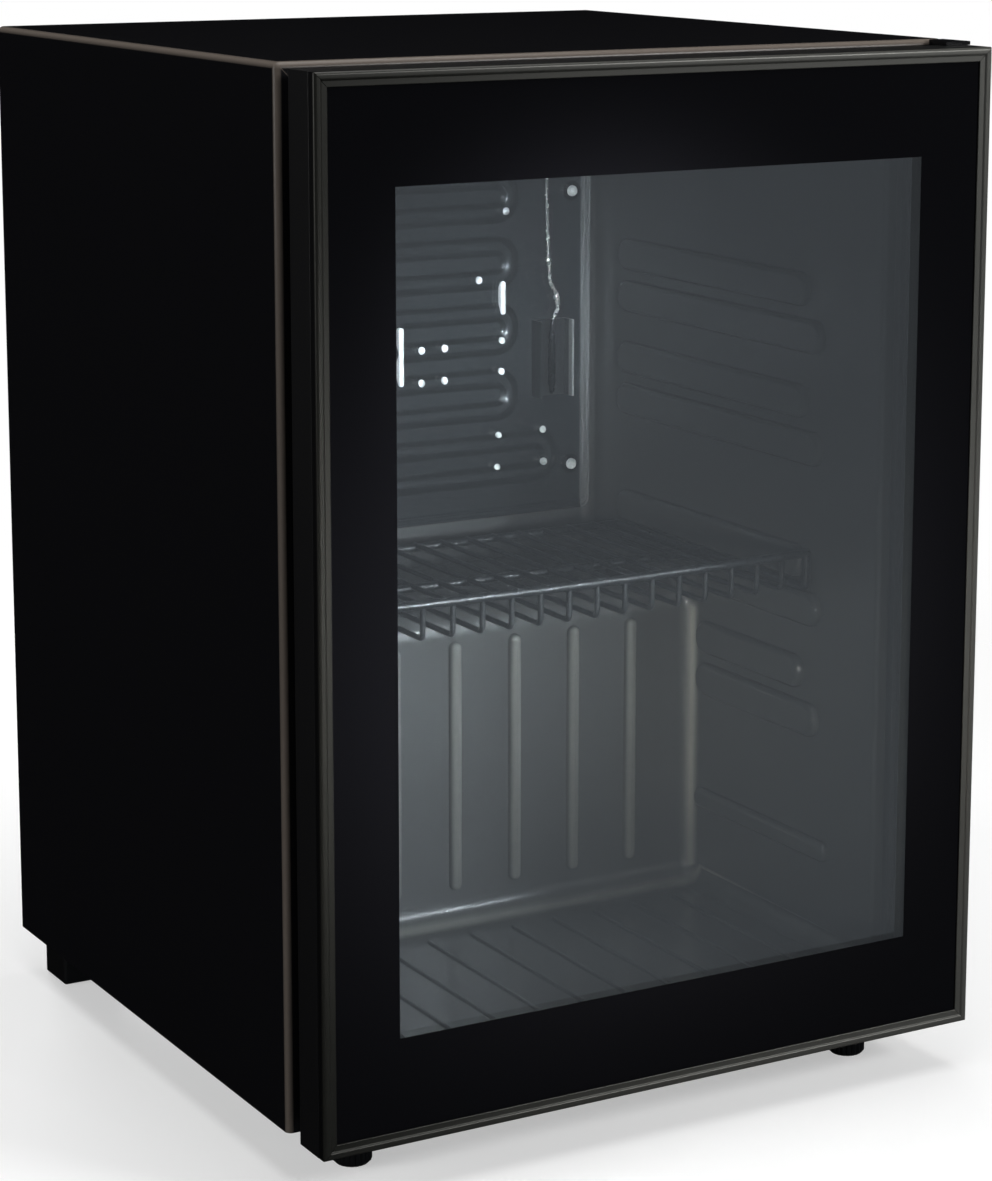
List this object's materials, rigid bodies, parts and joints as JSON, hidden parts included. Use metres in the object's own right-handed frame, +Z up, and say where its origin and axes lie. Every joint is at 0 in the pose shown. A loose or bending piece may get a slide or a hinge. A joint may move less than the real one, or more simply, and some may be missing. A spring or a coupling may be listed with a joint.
{
  "type": "beverage refrigerator",
  "caption": "Small free-standing refrigerator with a glazed door on a right-hand hinge, a moulded liner, a sliding wire shelf and a plate evaporator.",
  "frame": {"origin": "on the floor, under the middle of the refrigerator with its door closed", "axes": "+Z up, -Y out through the door, +X towards the hinge side"},
  "size_m": [0.402, 0.412, 0.574],
  "materials": {
    "black_painted_steel": "satin",
    "black_plastic": "fine grain",
    "liner_plastic": "moulded gloss",
    "trim_aluminium": "dark anodised",
    "evaporator_aluminium": "rolled",
    "screw_steel": "zinc plated",
    "shelf_wire": "dark plastic coating",
    "galvanised_steel": "galvanised",
    "copper": "drawn copper",
    "door_glass": "polished",
    "black_rubber": "matt",
    "rigid_foam": "foamed",
    "white_plastic": "moulded",
    "nylon": "moulded"
  },
  "bodies": {
    "cabinet": {"base_pan": "galvanised_steel", "bulb_clip": "white_plastic", "cabinet_wrap": "black_painted_steel", "capillary_pipe": "copper", "compressor": "black_painted_steel", "compressor_grommet_1": "black_rubber", "compressor_grommet_2": "black_rubber", "compressor_grommet_3": "black_rubber", "compressor_grommet_4": "black_rubber", "compressor_tray": "galvanised_steel", "condenser_bracket_left": "galvanised_steel", "condenser_bracket_right": "galvanised_steel", "condenser_tube": "black_painted_steel", "condenser_wires": "black_painted_steel", "cord_gland": "black_rubber", "discharge_pipe": "copper", "drain_tube": "white_plastic", "drip_tray": "black_plastic", "evaporator_plate": "evaporator_aluminium", "evaporator_post_left_high": "white_plastic", "evaporator_post_left_low": "white_plastic", "evaporator_post_right_high": "white_plastic", "evaporator_post_right_low": "white_plastic", "evaporator_screw_left_high": "screw_steel", "evaporator_screw_left_low": "screw_steel", "evaporator_screw_right_high": "screw_steel", "evaporator_screw_right_low": "screw_steel", "filter_drier": "copper", "hinge_bottom": "black_painted_steel", "hinge_top": "black_painted_steel", "inner_liner": "liner_plastic", "insulation_foam": "rigid_foam", "rear_foot_left": "black_plastic", "rear_foot_right": "black_plastic", "rear_panel": "galvanised_steel", "relay_cover": "black_plastic", "suction_pipe": "copper", "thermostat_box": "black_plastic", "thermostat_sensing_tube": "copper"},
    "door": {"door_frame": "black_plastic", "front_pane": "door_glass", "inner_pane": "door_glass", "pane_spacer": "black_plastic", "door_gasket": "black_rubber", "door_trim_left": "trim_aluminium", "door_trim_right": "trim_aluminium", "door_trim_top": "trim_aluminium", "door_trim_bottom": "trim_aluminium", "hinge_bush_top": "nylon", "hinge_bush_bottom": "nylon"},
    "shelf": {"wire_shelf": "shelf_wire"},
    "knob": {"thermostat_knob": "white_plastic"},
    "left_foot": {"front_foot_left": "black_plastic"},
    "right_foot": {"front_foot_right": "black_plastic"}
  },
  "joints": [
    {"name": "door_swing", "type": "hinge", "parent": "cabinet", "child": "door", "pos_m": [0.19, -0.1818, 0.3], "axis": [0, 0, 1], "range_deg": [0, 110]},
    {"name": "shelf_slide", "type": "slide", "parent": "cabinet", "child": "shelf", "axis": [0, -1, 0], "range_m": [0, 0.06]},
    {"name": "knob_turn", "type": "hinge", "parent": "cabinet", "child": "knob", "pos_m": [0.119, 0.0407, 0.5157], "axis": [0, -1, 0], "range_deg": [0, 270]},
    {"name": "left_foot_turn", "type": "hinge", "parent": "cabinet", "child": "left_foot", "pos_m": [-0.158, -0.1515, 0], "axis": [0, 0, 1], "continuous": true},
    {"name": "right_foot_turn", "type": "hinge", "parent": "cabinet", "child": "right_foot", "pos_m": [0.158, -0.1515, 0], "axis": [0, 0, 1], "continuous": true}
  ]
}
